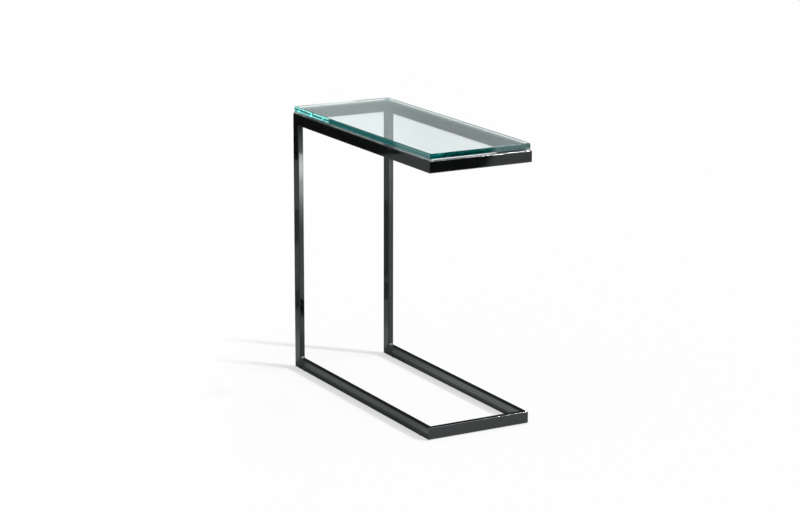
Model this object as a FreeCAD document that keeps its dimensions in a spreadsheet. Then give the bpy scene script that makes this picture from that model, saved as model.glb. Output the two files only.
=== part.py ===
import FreeCAD, Part
import math
import os
import Sketcher

# A C-shaped side table: a glass plate on four clear bumpers, on a welded frame of rectangular tube.
# The row frame: +X from the uprights to the open front, +Y to the left, +Z up. The origin is on the floor,
# in the middle of the table's outline.

doc = FreeCAD.newDocument("side_table")

# Driving sizes in millimetres, with what each one is
SIZES = [
    ("frame_length", 620.0, "frame along X, outside"),
    ("frame_width", 245.0, "frame along Y, outside"),
    ("frame_height", 594.0, "frame along Z, from the base rails' underside to the top rails' top"),
    ("tube_face", 25.4, "wide side of the tube, which stands upright in every rail"),
    ("tube_edge", 12.7, "narrow side of the tube"),
    ("tube_wall", 1.5, "wall of the tube"),
    ("tube_corner", 1.5, "outer corner radius of the tube"),
    ("weld_leg", 4.0, "each leg of the bead of weld in the inner corner over a base rail"),
    ("weld_face_radius", 6.0, "radius of a bead's bulging face"),
    ("glass_thickness", 12.0, "thickness of the glass"),
    ("glass_inset", 2.0, "from the frame's outline in to the edge of the glass"),
    ("glass_corner", 2.0, "radius of the plate's four corners in plan"),
    ("glass_arris", 0.8, "chamfer along the plate's edges"),
    ("bumper_foot", 12.0, "diameter of a bumper where it sticks to the frame"),
    ("bumper_crown", 10.6, "diameter of a bumper at its top"),
    ("bumper_height", 3.5, "height of a bumper, and so the gap under the glass"),
    ("bumper_round", 0.6, "rounding of a bumper's top rim"),
    ("glide_head", 10.0, "diameter of a glide's head"),
    ("glide_thickness", 1.5, "thickness of a glide's head, and so the frame's height off the floor"),
    ("glide_rim", 0.5, "chamfer round the underside of a glide"),
    ("glide_setback", 40.0, "from the frame's end to the middle of a glide"),
    ("stem_diameter", 5.0, "diameter of a glide's stem"),
    ("stem_length", 7.0, "length of a glide's stem above its head"),
    ("stem_tip", 1.0, "taper at the tip of a stem"),
    ("stem_clearance", 0.1, "between a stem and its hole, all round"),
    ("overrun", 1.0, "how far a blind cut runs on into the hollow of a tube"),
]

sheet = doc.addObject("Spreadsheet::Sheet", "sizes")
for row, (alias, number, meaning) in enumerate(SIZES, start=1):
    sheet.set("A%d" % row, str(number))
    sheet.set("B%d" % row, meaning)
    sheet.setAlias("A%d" % row, alias)
doc.recompute()

# Places that several pieces share, as formulas of the sheet's sizes
REAR = "-sizes.frame_length / 2"
FRONT = "sizes.frame_length / 2"
RIGHT = "-sizes.frame_width / 2"
LEFT = "sizes.frame_width / 2"
LEFT_TUBE = "sizes.frame_width / 2 - sizes.tube_edge"
RIGHT_INNER = "-sizes.frame_width / 2 + sizes.tube_edge"
FRONT_TUBE = "sizes.frame_length / 2 - sizes.tube_edge"
BASE_LEVEL = "sizes.glide_thickness"
TOP_RAIL_LEVEL = "sizes.glide_thickness + sizes.frame_height - sizes.tube_face"
BUMPER_LEVEL = "sizes.glide_thickness + sizes.frame_height"
GLASS_LEVEL = "sizes.glide_thickness + sizes.frame_height + sizes.bumper_height"

# Sketch geometry is first drawn at this rough size, and its dimensions then draw it out
ROUGH = 1.0
# Two numbers nearer than this count as the same
SAME = 1e-6

parts = []


def new_body(name, x, y, z):
    """An empty piece whose own origin lies at the given formulas."""
    body = doc.addObject("PartDesign::Body", name)
    body.Label = name
    body.setExpression("Placement.Base.x", x)
    body.setExpression("Placement.Base.y", y)
    body.setExpression("Placement.Base.z", z)
    parts.append(body)
    return body


def new_sketch(body, name, role):
    """A sketch on one of the body's own origin planes."""
    sketch = body.newObject("Sketcher::SketchObject", body.Name + "_" + name)
    plane = [feature for feature in body.Origin.OriginFeatures if feature.Role == role][0]
    sketch.AttachmentSupport = [(plane, "")]
    sketch.MapMode = "FlatFace"
    return sketch


# A sketch numbers the points of its geometry from one, and its own axes and origin are geometry too
POINT = {point: number for number, point in enumerate(("start", "end", "centre"), start=1)}
ORIGIN = (-1, 1)
AXIS_AT_ZERO = {"DistanceX": -2, "DistanceY": -1}


def dimension(sketch, kind, geometry, point, start, formula):
    """Holds one coordinate of a point at a formula, measured from the sketch's origin."""
    if formula == "0":
        sketch.addConstraint(Sketcher.Constraint("PointOnObject", geometry, point, AXIS_AT_ZERO[kind]))
        return
    index = sketch.addConstraint(Sketcher.Constraint(kind, *ORIGIN, geometry, point, start))
    sketch.setExpression("Constraints[%d]" % index, formula)


def outline(sketch, corners):
    """Closes straight sides through the corners, each a pair of formulas in the sketch's axes."""
    count = len(corners)
    turns = [2 * math.pi * index / count for index in range(count)]
    starts = [FreeCAD.Vector(1 + math.cos(turn), 1 + math.sin(turn), 0) * ROUGH for turn in turns]
    for index in range(count):
        sketch.addGeometry(Part.LineSegment(starts[index], starts[(index + 1) % count]))
    for index in range(count):
        following = (index + 1) % count
        joined = Sketcher.Constraint("Coincident", index, POINT["end"], following, POINT["start"])
        sketch.addConstraint(joined)
    for index, (across, up) in enumerate(corners):
        dimension(sketch, "DistanceX", index, POINT["start"], starts[index].x, across)
        dimension(sketch, "DistanceY", index, POINT["start"], starts[index].y, up)


def rectangle(sketch, low_across, low_up, high_across, high_up):
    """Draws a rectangle between two opposite corners, given as formulas."""
    outline(sketch, [
        (low_across, low_up),
        (high_across, low_up),
        (high_across, high_up),
        (low_across, high_up),
    ])


def edges_along(shape, direction):
    """Names the straight edges that run along a direction."""
    names = []
    for number, edge in enumerate(shape.Edges, start=1):
        if not isinstance(edge.Curve, Part.Line):
            continue
        if edge.tangentAt(edge.FirstParameter).cross(direction).Length < SAME:
            names.append("Edge%d" % number)
    return names


def edges_at_height(shape, height):
    """Names the edges that lie in one level plane."""
    names = []
    for number, edge in enumerate(shape.Edges, start=1):
        box = edge.BoundBox
        if abs(box.ZMin - height) < SAME and abs(box.ZMax - height) < SAME:
            names.append("Edge%d" % number)
    return names


def cut_through(body, name, sketch, flipped):
    """Cuts a sketch through the whole piece, on the side of its plane where the piece lies."""
    pocket = body.newObject("PartDesign::Pocket", body.Name + "_" + name)
    pocket.Profile = sketch
    pocket.Type = "ThroughAll"
    pocket.Reversed = flipped
    doc.recompute()
    return pocket


# The sketch plane for a tube that runs along each axis, the axis itself, whether a pad has to be turned
# to run along it from the plane, and the sizes of the section across and up in the sketch
RUNS = {
    "X": ("YZ_Plane", FreeCAD.Vector(1, 0, 0), False, "sizes.tube_edge", "sizes.tube_face"),
    "Y": ("XZ_Plane", FreeCAD.Vector(0, 1, 0), True, "sizes.tube_edge", "sizes.tube_face"),
    "Z": ("XY_Plane", FreeCAD.Vector(0, 0, 1), False, "sizes.tube_face", "sizes.tube_edge"),
}


def tube(name, run, length, x, y, z):
    """A square-ended rectangular tube along one axis, with rounded outer corners."""
    role, direction, turned, across, up = RUNS[run]
    body = new_body(name, x, y, z)

    section = new_sketch(body, "section", role)
    rectangle(section, "0", "0", across, up)
    bar = body.newObject("PartDesign::Pad", name + "_bar")
    bar.Profile = section
    bar.setExpression("Length", length)
    bar.Reversed = turned
    doc.recompute()

    rounding = body.newObject("PartDesign::Fillet", name + "_corners")
    rounding.Base = (bar, edges_along(bar.Shape, direction))
    rounding.setExpression("Radius", "sizes.tube_corner")
    doc.recompute()

    hollow = new_sketch(body, "hollow", role)
    rectangle(hollow, "sizes.tube_wall", "sizes.tube_wall",
              across + " - sizes.tube_wall", up + " - sizes.tube_wall")
    cut_through(body, "bore", hollow, not turned)
    return body


def mitre(body, name, role, corner, run_in, rise):
    """Cuts one corner off a tube's end at 45 degrees. The corner and the two ends of the slant are given
    in the axes of an origin plane."""
    triangle = new_sketch(body, name + "_line", role)
    outline(triangle, [corner, run_in, rise])
    # The tubes lie above their XY plane and to the left of their XZ plane
    cut_through(body, name, triangle, role == "XY_Plane")


def make_upright(name, y):
    """A post, mitred at both ends to the side rails."""
    body = tube(name, "Z", "sizes.frame_height", REAR, y, BASE_LEVEL)
    mitre(body, "foot_mitre", "XZ_Plane",
          ("sizes.tube_face", "0"), ("0", "0"), ("sizes.tube_face", "sizes.tube_face"))
    mitre(body, "head_mitre", "XZ_Plane",
          ("sizes.tube_face", "sizes.frame_height"),
          ("0", "sizes.frame_height"),
          ("sizes.tube_face", "sizes.frame_height - sizes.tube_face"))
    return body


def make_side_rail(name, y, z, inner, outer, outside, inside):
    """A rail along X, mitred to its upright at the rear and to the front rail at the front. Inner and outer
    are the places across the tube of the face towards the table's middle and of the face away from it.
    Outside and inside are the places up the tube of the face that runs to the rear end and the other."""
    body = tube(name, "X", "sizes.frame_length", REAR, y, z)
    mitre(body, "rear_mitre", "XZ_Plane",
          ("0", inside), ("0", outside), ("sizes.tube_face", inside))
    mitre(body, "front_mitre", "XY_Plane",
          ("sizes.frame_length", inner),
          ("sizes.frame_length", outer),
          ("sizes.frame_length - sizes.tube_edge", inner))
    return body


def make_front_rail(name, z):
    """A rail along Y at the open end, mitred in plan to both side rails."""
    body = tube(name, "Y", "sizes.frame_width", FRONT_TUBE, RIGHT, z)
    mitre(body, "right_mitre", "XY_Plane",
          ("0", "0"), ("sizes.tube_edge", "0"), ("0", "sizes.tube_edge"))
    mitre(body, "left_mitre", "XY_Plane",
          ("0", "sizes.frame_width"),
          ("sizes.tube_edge", "sizes.frame_width"),
          ("0", "sizes.frame_width - sizes.tube_edge"))
    return body


def make_rear_rail(name):
    """The rail under the back of the glass, butted between the two side frames."""
    return tube(name, "Y", "sizes.frame_width - 2 * sizes.tube_edge", REAR, RIGHT_INNER, TOP_RAIL_LEVEL)


def drill_for_glides(body):
    """Drills a base rail's underside for the stems of its two glides."""
    places = {"rear": "sizes.glide_setback", "front": "sizes.frame_length - sizes.glide_setback"}
    for end, along in places.items():
        ring = new_sketch(body, end + "_hole_ring", "XY_Plane")
        centre = FreeCAD.Vector(ROUGH, ROUGH, 0)
        ring.addGeometry(Part.Circle(centre, FreeCAD.Vector(0, 0, 1), ROUGH))
        dimension(ring, "DistanceX", 0, POINT["centre"], centre.x, along)
        dimension(ring, "DistanceY", 0, POINT["centre"], centre.y, "sizes.tube_edge / 2")
        index = ring.addConstraint(Sketcher.Constraint("Diameter", 0, 2 * ROUGH))
        ring.setExpression("Constraints[%d]" % index, "sizes.stem_diameter + 2 * sizes.stem_clearance")
        hole = body.newObject("PartDesign::Pocket", body.Name + "_" + end + "_hole")
        hole.Profile = ring
        hole.setExpression("Length", "sizes.tube_wall + sizes.overrun")
        hole.Reversed = True
        doc.recompute()


def make_weld(name, y):
    """A bead of weld across the flat of the tube, in the corner between an upright and its base rail."""
    body = new_body(name, REAR + " + sizes.tube_face", y + " + sizes.tube_corner",
                    BASE_LEVEL + " + sizes.tube_face")
    profile = new_sketch(body, "profile", "XZ_Plane")
    corner = FreeCAD.Vector(0, 0, 0)
    toe = FreeCAD.Vector(ROUGH, 0, 0)
    top = FreeCAD.Vector(0, ROUGH, 0)
    # A quarter circle is the first guess of the face
    crown = FreeCAD.Vector(math.cos(math.pi / 4), math.sin(math.pi / 4), 0) * ROUGH
    profile.addGeometry(Part.LineSegment(corner, toe))
    profile.addGeometry(Part.Arc(toe, crown, top))
    profile.addGeometry(Part.LineSegment(top, corner))
    for index in range(3):
        following = (index + 1) % 3
        joined = Sketcher.Constraint("Coincident", index, POINT["end"], following, POINT["start"])
        profile.addConstraint(joined)
    corners = [("0", "0"), ("sizes.weld_leg", "0"), ("0", "sizes.weld_leg")]
    for index, (across, up) in enumerate(corners):
        dimension(profile, "DistanceX", index, POINT["start"], ROUGH, across)
        dimension(profile, "DistanceY", index, POINT["start"], ROUGH, up)
    face = profile.addConstraint(Sketcher.Constraint("Radius", 1, ROUGH))
    profile.setExpression("Constraints[%d]" % face, "sizes.weld_face_radius")
    bead = body.newObject("PartDesign::Pad", name + "_bead")
    bead.Profile = profile
    bead.setExpression("Length", "sizes.tube_edge - 2 * sizes.tube_corner")
    bead.Reversed = True
    doc.recompute()
    return body


def make_glass():
    """The plate, with small rounded corners and a chamfer all round above and below."""
    body = new_body("glass_top", REAR + " + sizes.glass_inset", RIGHT + " + sizes.glass_inset", GLASS_LEVEL)
    plan = new_sketch(body, "plan", "XY_Plane")
    rectangle(plan, "0", "0",
              "sizes.frame_length - 2 * sizes.glass_inset",
              "sizes.frame_width - 2 * sizes.glass_inset")
    plate = body.newObject("PartDesign::Pad", "glass_top_plate")
    plate.Profile = plan
    plate.setExpression("Length", "sizes.glass_thickness")
    doc.recompute()

    rounding = body.newObject("PartDesign::Fillet", "glass_top_corners")
    rounding.Base = (plate, edges_along(plate.Shape, FreeCAD.Vector(0, 0, 1)))
    rounding.setExpression("Radius", "sizes.glass_corner")
    doc.recompute()

    arris = body.newObject("PartDesign::Chamfer", "glass_top_arris")
    levels = [rounding.Shape.BoundBox.ZMin, rounding.Shape.BoundBox.ZMax]
    arris.Base = (rounding, [name for level in levels for name in edges_at_height(rounding.Shape, level)])
    arris.setExpression("Size", "sizes.glass_arris")
    doc.recompute()
    return body


def turned_piece(name, x, y, z, corners):
    """A round piece, from half of its outline turned about its own Z axis."""
    body = new_body(name, x, y, z)
    half = new_sketch(body, "half_outline", "XZ_Plane")
    outline(half, corners)
    turning = body.newObject("PartDesign::Revolution", name + "_turning")
    turning.Profile = half
    turning.ReferenceAxis = (half, ["V_Axis"])
    doc.recompute()
    return body


def make_bumper(name, x, y):
    """A clear disc that narrows a little upwards, over the mitre at a corner of the frame."""
    body = turned_piece(name, x, y, BUMPER_LEVEL, [
        ("0", "0"),
        ("sizes.bumper_foot / 2", "0"),
        ("sizes.bumper_crown / 2", "sizes.bumper_height"),
        ("0", "sizes.bumper_height"),
    ])
    turning = body.Tip
    rounding = body.newObject("PartDesign::Fillet", name + "_rim")
    rounding.Base = (turning, edges_at_height(turning.Shape, turning.Shape.BoundBox.ZMax)[:1])
    rounding.setExpression("Radius", "sizes.bumper_round")
    doc.recompute()
    return body


def make_glide(name, x, y):
    """A floor glide: a flat head under the rail and a stem up through its wall."""
    return turned_piece(name, x, y, "0", [
        ("0", "0"),
        ("sizes.glide_head / 2 - sizes.glide_rim", "0"),
        ("sizes.glide_head / 2", "sizes.glide_rim"),
        ("sizes.glide_head / 2", "sizes.glide_thickness"),
        ("sizes.stem_diameter / 2", "sizes.glide_thickness"),
        ("sizes.stem_diameter / 2", "sizes.glide_thickness + sizes.stem_length - sizes.stem_tip"),
        ("sizes.stem_diameter / 2 - sizes.stem_tip", "sizes.glide_thickness + sizes.stem_length"),
        ("0", "sizes.glide_thickness + sizes.stem_length"),
    ])


def make_frame():
    """The nine tubes of the welded frame and the two beads of weld that show."""
    # Each side's place along Y, and where its tubes' inner and outer faces lie across them
    sides = {
        "right": (RIGHT, "sizes.tube_edge", "0"),
        "left": (LEFT_TUBE, "0", "sizes.tube_edge"),
    }
    for side, (y, inner, outer) in sides.items():
        make_upright("upright_" + side, y)
        base = make_side_rail("base_rail_" + side, y, BASE_LEVEL, inner, outer, "0", "sizes.tube_face")
        drill_for_glides(base)
        make_weld("weld_base_" + side, y)
        make_side_rail("top_rail_" + side, y, TOP_RAIL_LEVEL, inner, outer, "sizes.tube_face", "0")
    make_front_rail("base_rail_front", BASE_LEVEL)
    make_front_rail("top_rail_front", TOP_RAIL_LEVEL)
    make_rear_rail("top_rail_rear")


def make_small_pieces():
    """The bumpers on the frame's corners and the glides under the base rails."""
    half_tube = "sizes.tube_edge / 2"
    sides = {"right": RIGHT + " + " + half_tube, "left": LEFT + " - " + half_tube}
    bumper_ends = {"front": FRONT + " - " + half_tube, "rear": REAR + " + " + half_tube}
    glide_ends = {"front": FRONT + " - sizes.glide_setback", "rear": REAR + " + sizes.glide_setback"}
    for side, y in sides.items():
        for end in ("front", "rear"):
            make_bumper("bumper_%s_%s" % (end, side), bumper_ends[end], y)
            make_glide("glide_%s_%s" % (end, side), glide_ends[end], y)


make_frame()
make_glass()
make_small_pieces()
doc.recompute()

for item in doc.Objects:
    if "Invalid" in item.State or "Error" in item.State:
        raise RuntimeError("not built: " + item.Name)
for piece in parts:
    if piece.Shape.isNull() or not piece.Shape.isValid():
        raise RuntimeError("no valid solid: " + piece.Label)

os.makedirs("parts", exist_ok=True)
for piece in parts:
    piece.Shape.exportStep(os.path.join("parts", piece.Label + ".step"))
    print("%-20s %10.1f mm3" % (piece.Label, piece.Shape.Volume))
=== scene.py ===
import itertools
import math

import bpy
from mathutils import Matrix, Vector


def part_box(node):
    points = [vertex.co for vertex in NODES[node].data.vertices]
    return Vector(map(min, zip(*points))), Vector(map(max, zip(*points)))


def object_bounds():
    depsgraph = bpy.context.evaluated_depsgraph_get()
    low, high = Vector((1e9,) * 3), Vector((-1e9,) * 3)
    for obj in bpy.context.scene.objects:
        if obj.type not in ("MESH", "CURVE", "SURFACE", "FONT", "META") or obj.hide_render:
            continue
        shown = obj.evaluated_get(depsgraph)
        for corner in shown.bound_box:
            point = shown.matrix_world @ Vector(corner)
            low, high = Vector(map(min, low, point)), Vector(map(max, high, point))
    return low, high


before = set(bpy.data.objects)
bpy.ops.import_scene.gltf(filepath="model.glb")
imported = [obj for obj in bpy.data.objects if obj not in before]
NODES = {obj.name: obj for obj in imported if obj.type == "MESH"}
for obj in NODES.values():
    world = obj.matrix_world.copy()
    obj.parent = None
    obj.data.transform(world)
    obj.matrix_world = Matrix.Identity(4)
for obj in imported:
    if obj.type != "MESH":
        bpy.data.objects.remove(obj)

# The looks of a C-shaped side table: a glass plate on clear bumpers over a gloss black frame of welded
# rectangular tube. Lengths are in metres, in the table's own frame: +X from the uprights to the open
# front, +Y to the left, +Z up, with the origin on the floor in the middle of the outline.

cad_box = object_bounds()

# The table's own axes
FORWARD = Vector((1.0, 0.0, 0.0))
LEFT = Vector((0.0, 1.0, 0.0))
UP = Vector((0.0, 0.0, 1.0))

# Places taken from the frame, where a box is a low and a high corner: the steel's outer corners, and the
# middle of the glass's thickness
RAIL_LOW, RAIL_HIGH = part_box("base_rail_right")
STEEL_CORNERS = tuple(itertools.product(
    (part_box("upright_right")[0].x, RAIL_HIGH.x),
    (RAIL_LOW.y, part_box("base_rail_left")[1].y),
    (RAIL_LOW.z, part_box("top_rail_right")[1].z),
))
GLASS_LOW, GLASS_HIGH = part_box("glass_top")
GLASS_MIDDLE = (GLASS_LOW.z + GLASS_HIGH.z) / 2

# The photograph's view: where the camera stands round its target, and its lens and sensor in millimetres
AZIMUTH = math.radians(60.88)
ELEVATION = math.radians(13.98)
ROLL = math.radians(0.11)
DISTANCE = 5.214
TARGET = Vector((-0.0095, -0.0133, 0.3068))
LENS = 106.875
SENSOR = 36.0

# Level axes of the view: away from the camera along the floor, and to its right
AWAY = Vector((-math.sin(AZIMUTH), math.cos(AZIMUTH), 0.0))
ACROSS = Vector((math.cos(AZIMUTH), math.sin(AZIMUTH), 0.0))


def make_camera():
    """The camera at the photograph's place, with no shift and no depth of field."""
    back = Vector((
        math.sin(AZIMUTH) * math.cos(ELEVATION),
        -math.cos(AZIMUTH) * math.cos(ELEVATION),
        math.sin(ELEVATION),
    ))
    upward = back.cross(ACROSS)
    right = math.cos(ROLL) * ACROSS + math.sin(ROLL) * upward
    top = math.cos(ROLL) * upward - math.sin(ROLL) * ACROSS
    data = bpy.data.cameras.new("camera")
    data.lens = LENS
    data.sensor_width = SENSOR
    camera = bpy.data.objects.new("camera", data)
    bpy.context.scene.collection.objects.link(camera)
    turn = Matrix((right, top, back)).transposed().to_4x4()
    camera.matrix_world = Matrix.Translation(TARGET + back * DISTANCE) @ turn
    bpy.context.scene.camera = camera


def add(tree, kind, inputs=None, **settings):
    """Adds a shader node. An input is a number, a colour or another node's output."""
    node = tree.nodes.new(kind)
    for name, value in settings.items():
        setattr(node, name, value)
    for socket, value in (inputs or {}).items():
        if isinstance(value, bpy.types.NodeSocket):
            tree.links.new(value, node.inputs[socket])
        else:
            node.inputs[socket].default_value = value
    return node


def math_node(tree, operation, *values):
    """A Math node's output, from one or more numbers or outputs."""
    return add(tree, "ShaderNodeMath", dict(enumerate(values)), operation=operation).outputs[0]


def plus(tree, first, *others):
    """The sum of numbers and outputs."""
    for other in others:
        first = math_node(tree, "ADD", first, other)
    return first


def times(tree, first, *others):
    """The product of numbers and outputs."""
    for other in others:
        first = math_node(tree, "MULTIPLY", first, other)
    return first


def rest_of(tree, share):
    """What a share leaves of 1."""
    return math_node(tree, "SUBTRACT", 1.0, share)


def ramp(tree, value, start, end, low=0.0, high=1.0):
    """A smooth step of a value, from low at start to high at end."""
    node = add(tree, "ShaderNodeMapRange", {
        "Value": value, "From Min": start, "From Max": end, "To Min": low, "To Max": high,
    }, interpolation_type="SMOOTHSTEP")
    return node.outputs["Result"]


def past(tree, value, limit, softness):
    """0 before a limit and 1 past it, with a soft step between."""
    return ramp(tree, value, limit - softness / 2, limit + softness / 2)


def levels(tree, value, stops):
    """A curve through stops of value and level."""
    first = stops[0][0]
    last = stops[-1][0]
    share = add(tree, "ShaderNodeMapRange", {"Value": value, "From Min": first, "From Max": last})
    node = add(tree, "ShaderNodeValToRGB", {"Fac": share.outputs["Result"]})
    curve = node.color_ramp
    for place, _ in stops[1:-1]:
        curve.elements.new((place - first) / (last - first))
    for element, (_, level) in zip(curve.elements, stops):
        element.color = grey(level)
    return node.outputs["Color"]


def along(tree, place, direction):
    """How far a place lies along a direction."""
    node = add(tree, "ShaderNodeVectorMath", {0: place, 1: tuple(direction)}, operation="DOT_PRODUCT")
    return node.outputs["Value"]


def noise(tree, place, cell, detail=2.0):
    """Smooth noise about 0.5, whose cells are as long as named."""
    node = add(tree, "ShaderNodeTexNoise", {"Vector": place, "Scale": 1.0 / cell, "Detail": detail})
    return node.outputs["Fac"]


def bump(tree, height, strength=1.0):
    """The normal of a surface with small heights in metres."""
    node = add(tree, "ShaderNodeBump", {"Height": height, "Distance": 1.0, "Strength": strength})
    return node.outputs["Normal"]


# The Mix node's inputs for two numbers and for two colours, and its output for a colour
NUMBER_A = 2
NUMBER_B = 3
COLOUR_A = 6
COLOUR_B = 7
MIXED_COLOUR = 2


def mix_level(tree, share, first, second):
    """A number between two others."""
    return add(tree, "ShaderNodeMix", {"Factor": share, NUMBER_A: first, NUMBER_B: second}).outputs[0]


def mix_colour(tree, share, first, second):
    """A colour between two others."""
    inputs = {"Factor": share, COLOUR_A: first, COLOUR_B: second}
    return add(tree, "ShaderNodeMix", inputs, data_type="RGBA").outputs[MIXED_COLOUR]


def scaled(tree, colour, level):
    """A colour times a level."""
    node = add(tree, "ShaderNodeVectorMath", {0: colour, "Scale": level}, operation="SCALE")
    return node.outputs["Vector"]


def opaque(colour):
    """A colour with full alpha."""
    return (*colour, 1.0)


def grey(level):
    """A neutral colour."""
    return opaque((level, level, level))


def new_material(name):
    """An empty node material with its output, and the place on the object in metres."""
    material = bpy.data.materials.new(name)
    material.use_nodes = True
    tree = material.node_tree
    tree.nodes.clear()
    output = tree.nodes.new("ShaderNodeOutputMaterial")
    place = tree.nodes.new("ShaderNodeTexCoord").outputs["Object"]
    return material, tree, output, place


def dress(material, *starts):
    """Gives a material to the CAD nodes whose names start so."""
    for name, node in NODES.items():
        if name.startswith(starts):
            for slot in node.material_slots:
                slot.material = material


# The part of a noise's range over which a roughness runs from one end to the other
NOISE_LOW = 0.3
NOISE_HIGH = 0.7

# Gloss black paint: soft clouds of two blacks and of a little more or less gloss, over three kinds of
# unevenness, each with the length of its cells and its height: waves in the steel, the paint's orange
# peel, and the ground welds at the corners, with how far from a corner the grinding fades and ends
PAINT_CLOUD = 0.035
PAINT_DETAIL = 3.0
PAINT_COLOURS = ((0.0018, 0.0020, 0.0021), (0.0040, 0.0043, 0.0044))
PAINT_ROUGHNESS = (0.02, 0.045)
PAINT_IOR = 1.5
WAVE_CELL = 0.045
WAVE_HEIGHT = 0.00003
PEEL_CELL = 0.0016
PEEL_HEIGHT = 0.0000006
WELD_CELL = 0.005
WELD_HEIGHT = 0.00001
GRINDING_FADES = 0.0204
GRINDING_ENDS = 0.0544

# The same paint over a weld bead: duller, and rippled along the bead's run
BEAD_ROUGHNESS = (0.22, 0.34)
BEAD_PITCH = 0.0014
BEAD_HEIGHT = 0.00008
BEAD_UNEVENNESS = 1.5

# How many radians a Wave Texture node turns through per metre, at a scale of 1
WAVE_NODE_TURN = 20.0


def near_corners(tree, place):
    """1 at the frame's welded corners, falling to 0 where the grinding of the welds ends."""
    nearest = None
    for corner in STEEL_CORNERS:
        gap = add(tree, "ShaderNodeVectorMath", {0: place, 1: corner}, operation="DISTANCE")
        gap = gap.outputs["Value"]
        nearest = gap if nearest is None else math_node(tree, "MINIMUM", nearest, gap)
    return ramp(tree, nearest, GRINDING_FADES, GRINDING_ENDS, 1.0, 0.0)


def ripples(tree, place):
    """The ripples of a weld bead, one crest for each pitch."""
    node = add(tree, "ShaderNodeTexWave", {
        "Vector": place, "Scale": 2 * math.pi / (WAVE_NODE_TURN * BEAD_PITCH),
        "Distortion": BEAD_UNEVENNESS, "Detail": 1.0,
    }, bands_direction="Y")
    return node.outputs["Fac"]


def make_paint(name, gloss, bead_height=0.0):
    """Gloss black paint over steel, a little wavy, with an orange peel and unevenly ground corners.

    Over a weld it also shows the ripples of the bead."""
    material, tree, output, place = new_material(name)
    cloud = noise(tree, place, PAINT_CLOUD, PAINT_DETAIL)
    heights = [
        times(tree, noise(tree, place, WAVE_CELL, detail=1.0), WAVE_HEIGHT),
        times(tree, noise(tree, place, PEEL_CELL, detail=1.0), PEEL_HEIGHT),
        times(tree, noise(tree, place, WELD_CELL), near_corners(tree, place), WELD_HEIGHT),
    ]
    if bead_height:
        heights.append(times(tree, ripples(tree, place), bead_height))
    paint = add(tree, "ShaderNodeBsdfPrincipled", {
        "Base Color": mix_colour(tree, cloud, *map(opaque, PAINT_COLOURS)),
        "Roughness": ramp(tree, cloud, NOISE_LOW, NOISE_HIGH, *gloss),
        "IOR": PAINT_IOR,
        "Normal": bump(tree, plus(tree, *heights)),
    })
    tree.links.new(paint.outputs[0], output.inputs["Surface"])
    return material


# Clear float glass. Per metre it takes, of red, green and blue light, the density times what the kept
# share leaves of 1. Lamps reach the floor through it with a slight tint
GLASS_IOR = 1.52
GLASS_DENSITY = 8.0
GLASS_KEPT = (0.10, 0.925, 0.906)
LAMP_TINT = (0.985, 0.995, 0.992)

# How upright a normal is on its faces at the least and on its polished edges at the most, with the finely
# ground arrises between the two
FACE_UPRIGHT = 0.9
EDGE_UPRIGHT = 0.3
ARRIS_ROUGHNESS = 0.06

# How fast the crown of an edge falls off with the square of the distance from its middle, and the waves
# that polishing leaves along it
EDGE_CROWN = 4.6
EDGE_WAVE_LENGTH = 0.12
EDGE_WAVE_WIDTH = 0.010
EDGE_WAVE_HEIGHT = 0.000022


def edge_heights(tree, place, backfacing):
    """The heights of the edges' waves, alone and with the crown, which shows only from outside."""
    stretch = (1.0, 1.0, EDGE_WAVE_LENGTH / EDGE_WAVE_WIDTH)
    stretched = add(tree, "ShaderNodeVectorMath", {0: place, 1: stretch}, operation="MULTIPLY")
    waves = noise(tree, stretched.outputs["Vector"], EDGE_WAVE_LENGTH, detail=1.0)
    waves = times(tree, waves, EDGE_WAVE_HEIGHT)
    off_middle = math_node(tree, "SUBTRACT", along(tree, place, UP), GLASS_MIDDLE)
    crown = times(tree, off_middle, off_middle, -EDGE_CROWN, rest_of(tree, backfacing))
    return waves, plus(tree, waves, crown)


def make_glass():
    """Clear glass with polished edges, slightly rounded and wavy, and finely ground arrises."""
    material, tree, output, place = new_material("clear_glass")
    geometry = add(tree, "ShaderNodeNewGeometry").outputs
    upright = math_node(tree, "ABSOLUTE", along(tree, geometry["True Normal"], UP))
    off_face = math_node(tree, "LESS_THAN", upright, FACE_UPRIGHT)
    on_edge = math_node(tree, "LESS_THAN", upright, EDGE_UPRIGHT)
    roughness = times(tree, math_node(tree, "SUBTRACT", off_face, on_edge), ARRIS_ROUGHNESS)
    waves, crowned = edge_heights(tree, place, geometry["Backfacing"])
    flat = bump(tree, waves, off_face)
    bent = bump(tree, crowned, off_face)

    # The crown bends what comes through an edge, and leaves the picture that it mirrors whole
    mirror = add(tree, "ShaderNodeBsdfGlossy", {"Color": grey(1.0), "Roughness": roughness, "Normal": flat})
    clear = add(tree, "ShaderNodeBsdfRefraction", {
        "Color": grey(1.0), "Roughness": roughness, "IOR": GLASS_IOR, "Normal": bent,
    })
    fresnel = add(tree, "ShaderNodeFresnel", {"IOR": GLASS_IOR, "Normal": flat})
    glass = add(tree, "ShaderNodeMixShader", {
        "Fac": fresnel.outputs[0], 1: clear.outputs[0], 2: mirror.outputs[0],
    })

    # Lamps and the light that the floor sends up pass straight through
    path = add(tree, "ShaderNodeLightPath").outputs
    passing = math_node(tree, "MAXIMUM", path["Is Shadow Ray"], path["Is Diffuse Ray"])
    open_way = add(tree, "ShaderNodeBsdfTransparent", {"Color": opaque(LAMP_TINT)})
    surface = add(tree, "ShaderNodeMixShader", {
        "Fac": passing, 1: glass.outputs[0], 2: open_way.outputs[0],
    })
    body = add(tree, "ShaderNodeVolumeAbsorption", {"Color": opaque(GLASS_KEPT), "Density": GLASS_DENSITY})
    tree.links.new(surface.outputs[0], output.inputs["Surface"])
    tree.links.new(body.outputs[0], output.inputs["Volume"])
    return material


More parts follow.
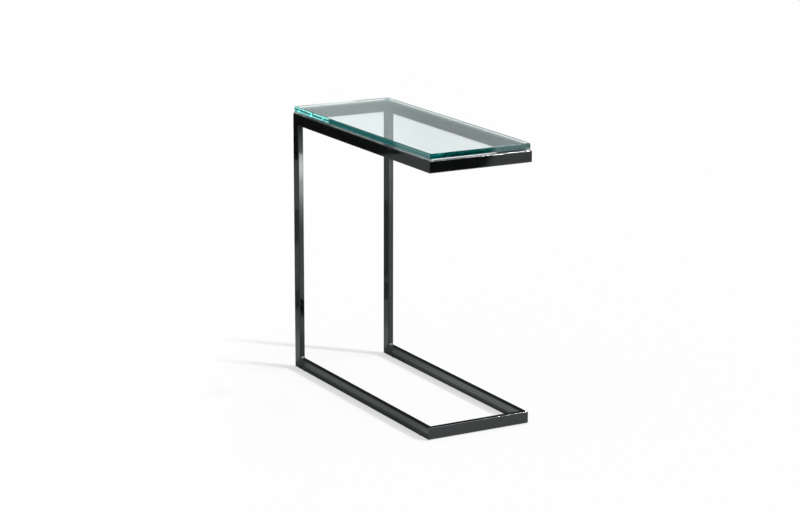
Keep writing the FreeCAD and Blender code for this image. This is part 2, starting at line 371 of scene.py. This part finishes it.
def make_plastic(name, cell, detail, colours, gloss, grain, finish=None):
    """A plastic whose fine grain shows in its colour, its gloss and its surface."""
    material, tree, output, place = new_material(name)
    cloud = noise(tree, place, cell, detail)
    inputs = {
        "Base Color": mix_colour(tree, cloud, *map(opaque, colours)),
        "Roughness": ramp(tree, cloud, NOISE_LOW, NOISE_HIGH, *gloss),
        "Normal": bump(tree, times(tree, cloud, grain)),
    }
    inputs.update(finish or {})
    plastic = add(tree, "ShaderNodeBsdfPrincipled", inputs)
    tree.links.new(plastic.outputs[0], output.inputs["Surface"])
    return material


# Clear soft polyurethane, a little cloudy: its grain's cells, colours and height, and its clearness
BUMPER_CELL = 0.002
BUMPER_DETAIL = 2.0
BUMPER_COLOURS = ((0.80, 0.84, 0.84), (0.93, 0.95, 0.95))
BUMPER_ROUGHNESS = (0.18, 0.32)
BUMPER_GRAIN = 0.00002
BUMPER_IOR = 1.49
BUMPER_CLEARNESS = 0.55

# Black moulded nylon
NYLON_CELL = 0.0006
NYLON_DETAIL = 3.0
NYLON_COLOURS = ((0.012, 0.012, 0.013), (0.025, 0.025, 0.026))
NYLON_ROUGHNESS = (0.42, 0.58)
NYLON_GRAIN = 0.00002


def make_bumper_material():
    """A clear soft plastic, a little cloudy."""
    return make_plastic(
        "clear_soft_plastic", BUMPER_CELL, BUMPER_DETAIL, BUMPER_COLOURS, BUMPER_ROUGHNESS, BUMPER_GRAIN,
        {"IOR": BUMPER_IOR, "Transmission Weight": BUMPER_CLEARNESS},
    )


def make_nylon():
    """Fine-grained black nylon."""
    return make_plastic(
        "black_nylon", NYLON_CELL, NYLON_DETAIL, NYLON_COLOURS, NYLON_ROUGHNESS, NYLON_GRAIN
    )


# A ray out of the glass has turned inside it no time or twice when it goes straight through, once when the
# far side mirrors it, and more often when it comes from an edge
ONE_TURN = 1.0
HALF_TURN = 0.5
MOST_TURNS_THROUGH = 2.5


def light_path(tree):
    """What a ray is, as 0 or 1: seen, seen through glass, mirrored, or gathered by an edge of the glass."""
    path = add(tree, "ShaderNodeLightPath").outputs
    few = math_node(tree, "LESS_THAN", path["Glossy Depth"], MOST_TURNS_THROUGH)
    once = math_node(tree, "COMPARE", path["Glossy Depth"], ONE_TURN, HALF_TURN)
    through = times(tree, path["Is Transmission Ray"], few, rest_of(tree, once))
    seen = math_node(tree, "MAXIMUM", path["Is Camera Ray"], through)
    gathered = times(tree, path["Is Transmission Ray"], rest_of(tree, few))
    reflected = math_node(tree, "MAXIMUM", path["Is Glossy Ray"], path["Is Transmission Ray"])
    mirrored = math_node(tree, "SUBTRACT", reflected, plus(tree, through, gathered))
    return seen, through, mirrored, gathered


# The studio as the gloss and the glass show it. Straight on and straight through the glass the floor and
# all round it are white. A reflection shows the paper with painted light and shade, brighter in front and
# on the right than behind, where it ends before a painted dark room, a painted streak of light on the
# paper, a grey backdrop, pale walls and soft lights.
# Its limits and levels were chosen to bring the reflections near to those in the photograph.

# How bright the paper behind the table is painted, painted shade and the dark bands of painted shadows
# included: the direction that the levels run along, and the levels
BEHIND_ALONG = Vector((-0.9885, 0.152, 0.0))
BEHIND_LEVELS = (
    (-0.30, 0.70), (-0.15, 0.74), (0.0, 0.84), (0.20, 0.78), (0.30, 0.74), (0.38, 0.84), (0.48, 0.84),
    (0.56, 0.53), (0.70, 0.48), (0.72, 0.20),
    (0.84, 0.17), (0.86, 0.33), (0.95, 0.37), (1.00, 0.44), (1.63, 0.42), (2.60, 0.40),
)

# A stretch of painted shade on it: the direction square to the line that it starts from and that line's
# distance from the origin, how far along the levels it reaches, how soft both ends are, and its share of
# the light
DIM_SQUARE = Vector((-0.69, 0.724, 0.0))
DIM_FROM = 0.475
DIM_TO = 1.632
DIM_SOFTNESS = 0.03
DIM_SHARE = 0.48

# A painted brighter strip of light on its right-hand side: where along Y it starts and is full, and its
# share of the light
BRIGHT_FROM = -1.566
BRIGHT_TO = -1.580
BRIGHT_SHARE = 2.1

# How bright the paper in front is painted along X, up to painted light above white, and where it takes
# over, to the right across the view
FRONT_LEVELS = ((1.2, 1.25), (2.4, 0.90), (2.83, 0.90), (2.85, 2.3), (3.4, 2.3))
FRONT_FROM = -0.06
FRONT_TO = 0.06

# The paper's ends: the direction square to each and its distance from the origin, the direction and the
# distance from which it holds, and how bright the painted dark room beyond it glows
PAPER_ENDS = (
    (Vector((-0.976, -0.219, 0.0)), 2.645, LEFT, BRIGHT_FROM, 0.03),
    (Vector((-0.509, 0.861, 0.0)), -0.104, -LEFT, -BRIGHT_FROM, 0.03),
    (Vector((0.598, -0.801, 0.0)), 0.44, FORWARD, 1.9, 0.02),
)
END_SOFTNESS = 0.03
HOLD_SOFTNESS = 0.014

# A painted streak of light on the paper, a glow with no lamp: its brightest level, and the share of it
# along the streak
STREAK_START = Vector((1.22, 0.64, 0.0))
STREAK_ALONG = Vector((0.891, 0.453, 0.0))
STREAK_HALF_WIDTH = 0.36
STREAK_LEVEL = 12.0
STREAK_SHARES = (
    (-0.25, 0.0), (0.0, 0.14), (0.12, 0.30), (0.24, 0.46), (0.37, 0.50),
    (0.50, 0.92), (0.64, 1.0), (0.80, 0.68), (0.84, 0.08), (1.05, 0.05), (1.15, 0.0),
)


def paper_level(tree, place):
    """How bright the paper is painted in a reflection, with painted light and shade, before its ends."""
    distance = along(tree, place, BEHIND_ALONG)
    dim = times(
        tree, past(tree, along(tree, place, DIM_SQUARE), DIM_FROM, DIM_SOFTNESS),
        rest_of(tree, past(tree, distance, DIM_TO, DIM_SOFTNESS)),
    )
    bright = ramp(tree, along(tree, place, LEFT), BRIGHT_TO, BRIGHT_FROM, BRIGHT_SHARE, 1.0)
    behind = levels(tree, distance, BEHIND_LEVELS)
    behind = times(tree, behind, ramp(tree, dim, 0.0, 1.0, 1.0, DIM_SHARE), bright)
    in_front = ramp(tree, along(tree, place, ACROSS), FRONT_FROM, FRONT_TO)
    return mix_level(tree, in_front, behind, levels(tree, along(tree, place, FORWARD), FRONT_LEVELS))


def streak(tree, place):
    """The painted light of the streak on the paper, a glow with no lamp behind it."""
    offset = add(tree, "ShaderNodeVectorMath", {0: place, 1: tuple(STREAK_START)}, operation="SUBTRACT")
    offset = offset.outputs["Vector"]
    side = math_node(tree, "ABSOLUTE", along(tree, offset, STREAK_ALONG.cross(UP)))
    shares = levels(tree, along(tree, offset, STREAK_ALONG), STREAK_SHARES)
    return times(tree, shares, ramp(tree, side, 0.0, STREAK_HALF_WIDTH, STREAK_LEVEL, 0.0))


def mirrored_paper(tree, place):
    """How bright the paper is painted in a reflection, and what glows there as painted light: the dark room
    and the streak.
    """
    level = paper_level(tree, place)
    shine = streak(tree, place)
    for square, reach, holds_towards, holds_from, room in PAPER_ENDS:
        beyond = times(
            tree, past(tree, along(tree, place, square), reach, END_SOFTNESS),
            past(tree, along(tree, place, holds_towards), holds_from, HOLD_SOFTNESS),
        )
        level = times(tree, level, rest_of(tree, beyond))
        shine = plus(tree, shine, times(tree, beyond, room))
    return level, shine


# The white paper floor. Seen straight on, part of its white is a painted glow, so that the shadows stay
# pale, and all of it further left across the view, where the glow ends the shadows
FLOOR_SIZE = 40.0
FLOOR_COLOUR = 0.97
FLOOR_GLOW = 0.60
SHADOW_FADES = -0.26
SHADOW_ENDS = -0.50

# Through the glass it has more painted glow, with a painted tint, where the ray meets the floor at a slant:
# from no more to all of it between two values of Layer Weight's Facing
THROUGH_GLOW = 0.24
THROUGH_TINT = (1.075, 1.008, 1.015)
THROUGH_FROM = 0.25
THROUGH_TO = 0.70

# In a reflection it has a painted cool tint, and what an edge of the glass gathers of it is painted down to
# a share of its light
MIRRORED_TINT = (0.92, 1.0, 1.0)
GATHERED_SHARE = 0.15


def make_paper():
    """White paper, with painted glow, light, shade and tints of its own straight on, through glass, in
    reflections and in glass edges.
    """
    material, tree, output, place = new_material("paper_floor")
    seen, through, mirrored, gathered = light_path(tree)
    level, shine = mirrored_paper(tree, place)
    facing = add(tree, "ShaderNodeLayerWeight").outputs["Facing"]
    slanted = times(tree, through, ramp(tree, facing, THROUGH_FROM, THROUGH_TO))
    tint = mix_colour(tree, mirrored, grey(1.0), opaque(MIRRORED_TINT))
    tint = mix_colour(tree, slanted, tint, opaque(THROUGH_TINT))

    shadowless = ramp(tree, along(tree, place, ACROSS), SHADOW_ENDS, SHADOW_FADES, 1.0, FLOOR_GLOW)
    glow = times(tree, seen, shadowless)
    lit = mix_level(tree, mirrored, rest_of(tree, glow), level)
    lit = mix_level(tree, gathered, lit, GATHERED_SHARE)
    glow = plus(tree, glow, times(tree, slanted, THROUGH_GLOW), times(tree, shine, mirrored))

    colour = scaled(tree, tint, times(tree, lit, FLOOR_COLOUR))
    paper = add(tree, "ShaderNodeBsdfDiffuse", {"Color": colour})
    light = add(tree, "ShaderNodeEmission", {"Color": tint, "Strength": glow})
    surface = add(tree, "ShaderNodeAddShader", {0: paper.outputs[0], 1: light.outputs[0]})
    tree.links.new(surface.outputs[0], output.inputs["Surface"])
    return material


def make_floor():
    """The paper floor, level with the glides' undersides."""
    mesh = bpy.data.meshes.new("floor")
    half = FLOOR_SIZE / 2
    corners = [(-half, -half, 0.0), (half, -half, 0.0), (half, half, 0.0), (-half, half, 0.0)]
    mesh.from_pydata(corners, [], [(0, 1, 2, 3)])
    mesh.materials.append(make_paper())
    floor = bpy.data.objects.new("floor", mesh)
    bpy.context.scene.collection.objects.link(floor)
    floor.location.z = cad_box[0].z


# The plain level of light from all round, and the dim ceiling that reflections show
AMBIENT_LEVEL = 0.34
CEILING_LEVEL = 0.05

# The backdrop ahead: the cosines between which it starts and is full, the angles at which it fades and
# ends above, and the right-hand side's share of its light
BACKDROP_COLOUR = (0.56, 0.62, 0.61)
BACKDROP_AHEAD = (0.55, 0.75)
BACKDROP_LOW = math.radians(12)
BACKDROP_HIGH = math.radians(15.5)
BACKDROP_TURN = 0.012
BACKDROP_RIGHT_SHARE = 0.76

# The pale walls on all other sides: the cosines between which they give way to the backdrop, and the
# angles at which they fade and end above
WALL_LEVEL = 0.5
WALL_AHEAD = (0.35, 0.55)
WALL_LOW = math.radians(16.43)
WALL_HIGH = math.radians(45)

# The soft lights that reflections show, one of them also a lamp: the direction of the middle, the angles
# from it at which each starts to fade and ends, and its colour
OVERHEAD = Vector((0.28, 0.48, 0.83))
SOFT_LIGHTS = (
    (OVERHEAD, math.radians(15), math.radians(25), (5.4, 5.7, 6.4)),
    (Vector((-0.82, -0.29, 0.49)), math.radians(14), math.radians(26), (0.5, 0.53, 0.53)),
)

# What the edges of the glass gather from the room: how bright it is by the angle above the floor in
# degrees, darker on one side, and a lamp on the other, with the cosines between which each takes over
EDGE_ROOM = ((4.0, 0.20), (9.9, 0.19), (10.4, 0.09), (11.2, 0.09), (11.7, 0.20), (20.0, 0.22))
EDGE_DARK_SIDE = Vector((-0.86, -0.48, 0.0))
EDGE_DARK_REACH = (0.65, 0.85)
EDGE_DARK_SHARE = 0.38
EDGE_LAMP = Vector((0.87, 0.49, 0.0))
EDGE_LAMP_REACH = (0.955, 0.972)
EDGE_LAMP_COLOUR = (2.3, 1.0, 0.97)
EDGE_LAMP_LEVELS = (
    (3.0, 0.15), (8.5, 1.0), (9.9, 0.95), (10.3, 0.10), (11.2, 0.10),
    (11.6, 1.6), (16.0, 1.4), (22.0, 0.15),
)


def mirrored_room(tree, direction, rise):
    """The room in reflections: a backdrop ahead, pale walls under a dim ceiling, and soft lights."""
    ahead = along(tree, direction, AWAY)
    aside = along(tree, direction, ACROSS)
    backdrop = times(
        tree, ramp(tree, ahead, *BACKDROP_AHEAD),
        ramp(tree, rise, math.sin(BACKDROP_LOW), math.sin(BACKDROP_HIGH), 1.0, 0.0),
        ramp(tree, aside, -BACKDROP_TURN, BACKDROP_TURN, 1.0, BACKDROP_RIGHT_SHARE),
    )
    wall = times(
        tree, ramp(tree, ahead, *WALL_AHEAD, 1.0, 0.0),
        ramp(tree, rise, math.sin(WALL_LOW), math.sin(WALL_HIGH), 1.0, 0.0),
    )
    room = mix_colour(tree, backdrop, grey(CEILING_LEVEL), opaque(BACKDROP_COLOUR))
    room = mix_colour(tree, wall, room, grey(WALL_LEVEL))
    for middle, fades, ends, colour in SOFT_LIGHTS:
        near = along(tree, direction, middle.normalized())
        room = mix_colour(tree, ramp(tree, near, math.cos(ends), math.cos(fades)), room, opaque(colour))
    return room


def gathered_room(tree, direction, rise):
    """The dim room and the lamp that light the glass's edges up."""
    angle = math_node(tree, "DEGREES", math_node(tree, "ARCSINE", rise))
    dark_side = along(tree, direction, EDGE_DARK_SIDE)
    dim = times(
        tree, levels(tree, angle, EDGE_ROOM), ramp(tree, dark_side, *EDGE_DARK_REACH, 1.0, EDGE_DARK_SHARE)
    )
    lamp = scaled(tree, EDGE_LAMP_COLOUR, levels(tree, angle, EDGE_LAMP_LEVELS))
    lamp_side = ramp(tree, along(tree, direction, EDGE_LAMP.normalized()), *EDGE_LAMP_REACH)
    return mix_colour(tree, lamp_side, dim, lamp)


def make_world():
    """White straight on and through glass, the room in reflections, and a plain level of light."""
    world = bpy.data.worlds.new("studio")
    bpy.context.scene.world = world
    world.use_nodes = True
    tree = world.node_tree
    tree.nodes.clear()
    direction = add(tree, "ShaderNodeTexCoord").outputs["Generated"]
    rise = along(tree, direction, UP)
    seen, _, mirrored, gathered = light_path(tree)
    colour = mix_colour(tree, mirrored, grey(AMBIENT_LEVEL), mirrored_room(tree, direction, rise))
    colour = mix_colour(tree, gathered, colour, gathered_room(tree, direction, rise))
    colour = mix_colour(tree, seen, colour, grey(1.0))
    background = add(tree, "ShaderNodeBackground", {"Color": colour, "Strength": 1.0})
    output = add(tree, "ShaderNodeOutputWorld")
    tree.links.new(background.outputs[0], output.inputs["Surface"])


# Lamps far away: where each one stands, how wide it looks and what share of white it adds to the floor
LAMPS = {
    "overhead_softbox": (OVERHEAD, math.radians(36), 0.25),
    "side_lamp": (Vector((0.56, 0.52, 0.64)), math.radians(2.6), 0.42),
}


def make_lamps():
    """Lamps that light the floor evenly."""
    for name, (towards, width, share) in LAMPS.items():
        towards = towards.normalized()
        data = bpy.data.lights.new(name, "SUN")
        data.angle = width
        data.energy = share * math.pi / towards.z
        lamp = bpy.data.objects.new(name, data)
        bpy.context.scene.collection.objects.link(lamp)
        lamp.matrix_world = towards.to_track_quat("Z", "Y").to_matrix().to_4x4()


# How often light may turn on its way, since it turns many times inside the edges of the glass
MOST_BOUNCES = 32
MOST_GLOSSY_BOUNCES = 28
MOST_TRANSMISSION_BOUNCES = 16


def set_up_scene():
    """Colours that render as they are written, and enough turns of the light for the glass."""
    scene = bpy.context.scene
    scene.view_settings.view_transform = "Standard"
    scene.cycles.use_denoising = True
    scene.cycles.max_bounces = MOST_BOUNCES
    scene.cycles.glossy_bounces = MOST_GLOSSY_BOUNCES
    scene.cycles.transmission_bounces = MOST_TRANSMISSION_BOUNCES


make_camera()
dress(make_paint("gloss_black_paint", PAINT_ROUGHNESS), "upright", "base_rail", "top_rail")
dress(make_paint("black_paint_over_weld", BEAD_ROUGHNESS, BEAD_HEIGHT), "weld")
dress(make_glass(), "glass_top")
dress(make_bumper_material(), "bumper")
dress(make_nylon(), "glide")
make_floor()
make_world()
make_lamps()
set_up_scene()
